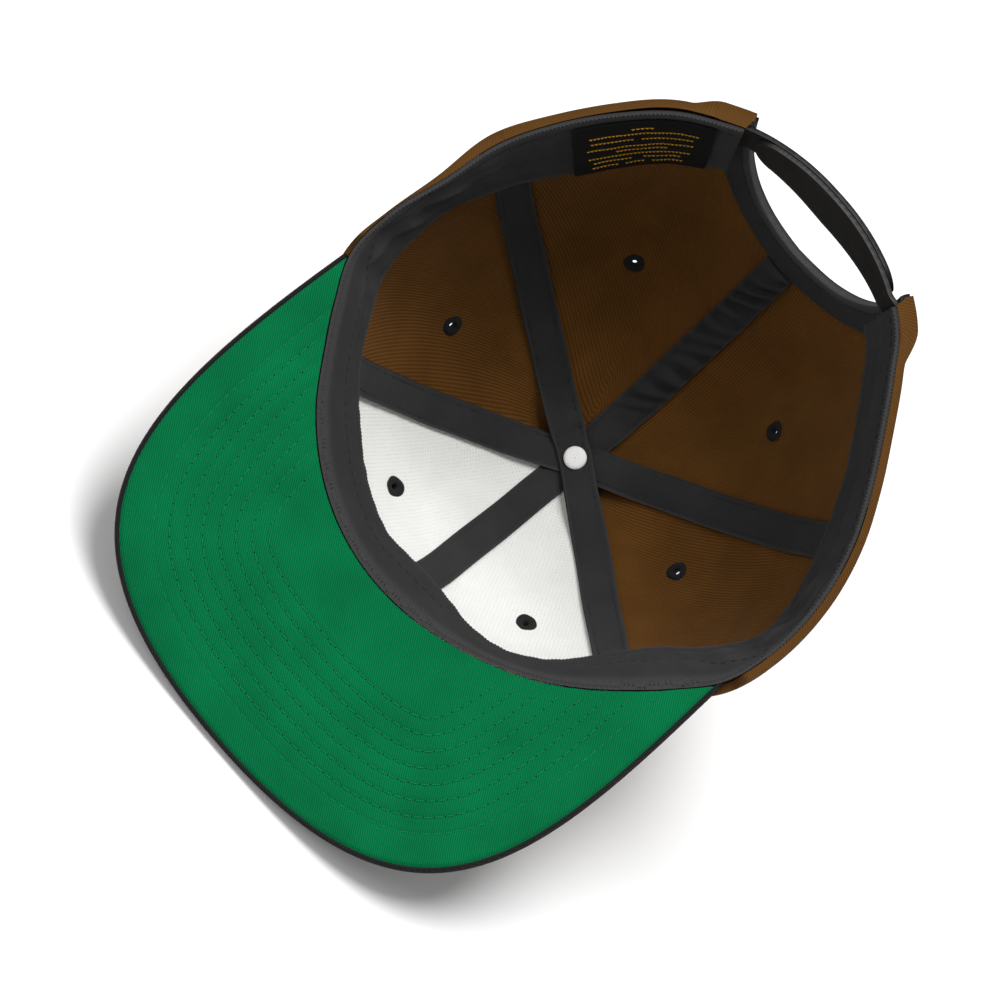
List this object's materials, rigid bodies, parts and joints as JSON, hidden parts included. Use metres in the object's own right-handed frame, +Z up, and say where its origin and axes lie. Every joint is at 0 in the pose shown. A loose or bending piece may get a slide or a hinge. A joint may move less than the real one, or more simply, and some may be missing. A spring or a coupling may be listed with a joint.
{
  "type": "snapback cap",
  "caption": "Structured cap with a curved stiff visor, an open head hollow, sewn eyelets, a sweatband and a snapped plastic strap across an arched back opening, lying upside down",
  "frame": {"origin": "centre of the bounding box in X and Y, on the floor that the cap lies on in Z", "axes": "Z up, the cap lying upside down on the front of its crown and the front edge of its visor; -Y towards the visor's front edge, so Y runs from the visor to the back opening; X across the cap, from one side of the head to the other"},
  "size_m": [0.1902, 0.224, 0.1781],
  "materials": {
    "crown_cloth": "dark brown twill",
    "buckram": "white fused stiffening mesh",
    "seam_tape": "black woven tape",
    "sweatband": "charcoal woven band",
    "label": "near-black woven label with plain gold lines",
    "visor_cloth": "black twill over a stiff board",
    "under_visor_cloth": "green twill with rows of tone-on-tone stitching",
    "eyelet_thread": "close satin stitch",
    "button_cloth": "black twill over a domed shell",
    "rivet_metal": "white, slightly worn",
    "strap_plastic": "black, soft moulded"
  },
  "bodies": {
    "root": {"crown_panel_front_left": "crown_cloth", "crown_panel_side_left": "crown_cloth", "crown_panel_back_left": "crown_cloth", "crown_panel_front_right": "crown_cloth", "crown_panel_side_right": "crown_cloth", "crown_panel_back_right": "crown_cloth", "buckram_front_left": "buckram", "buckram_front_right": "buckram", "seam_tape_a": "seam_tape", "seam_tape_b": "seam_tape", "seam_tape_c": "seam_tape", "back_opening_binding": "seam_tape", "sweatband": "sweatband", "sweatband_label": "label", "visor_top": "visor_cloth", "visor_under": "under_visor_cloth", "eyelet_front_left": "eyelet_thread", "eyelet_front_right": "eyelet_thread", "eyelet_side_left": "eyelet_thread", "eyelet_side_right": "eyelet_thread", "eyelet_back_left": "eyelet_thread", "eyelet_back_right": "eyelet_thread", "top_button": "button_cloth", "apex_rivet": "rivet_metal", "strap_outer": "strap_plastic", "strap_inner": "strap_plastic"}
  },
  "joints": []
}
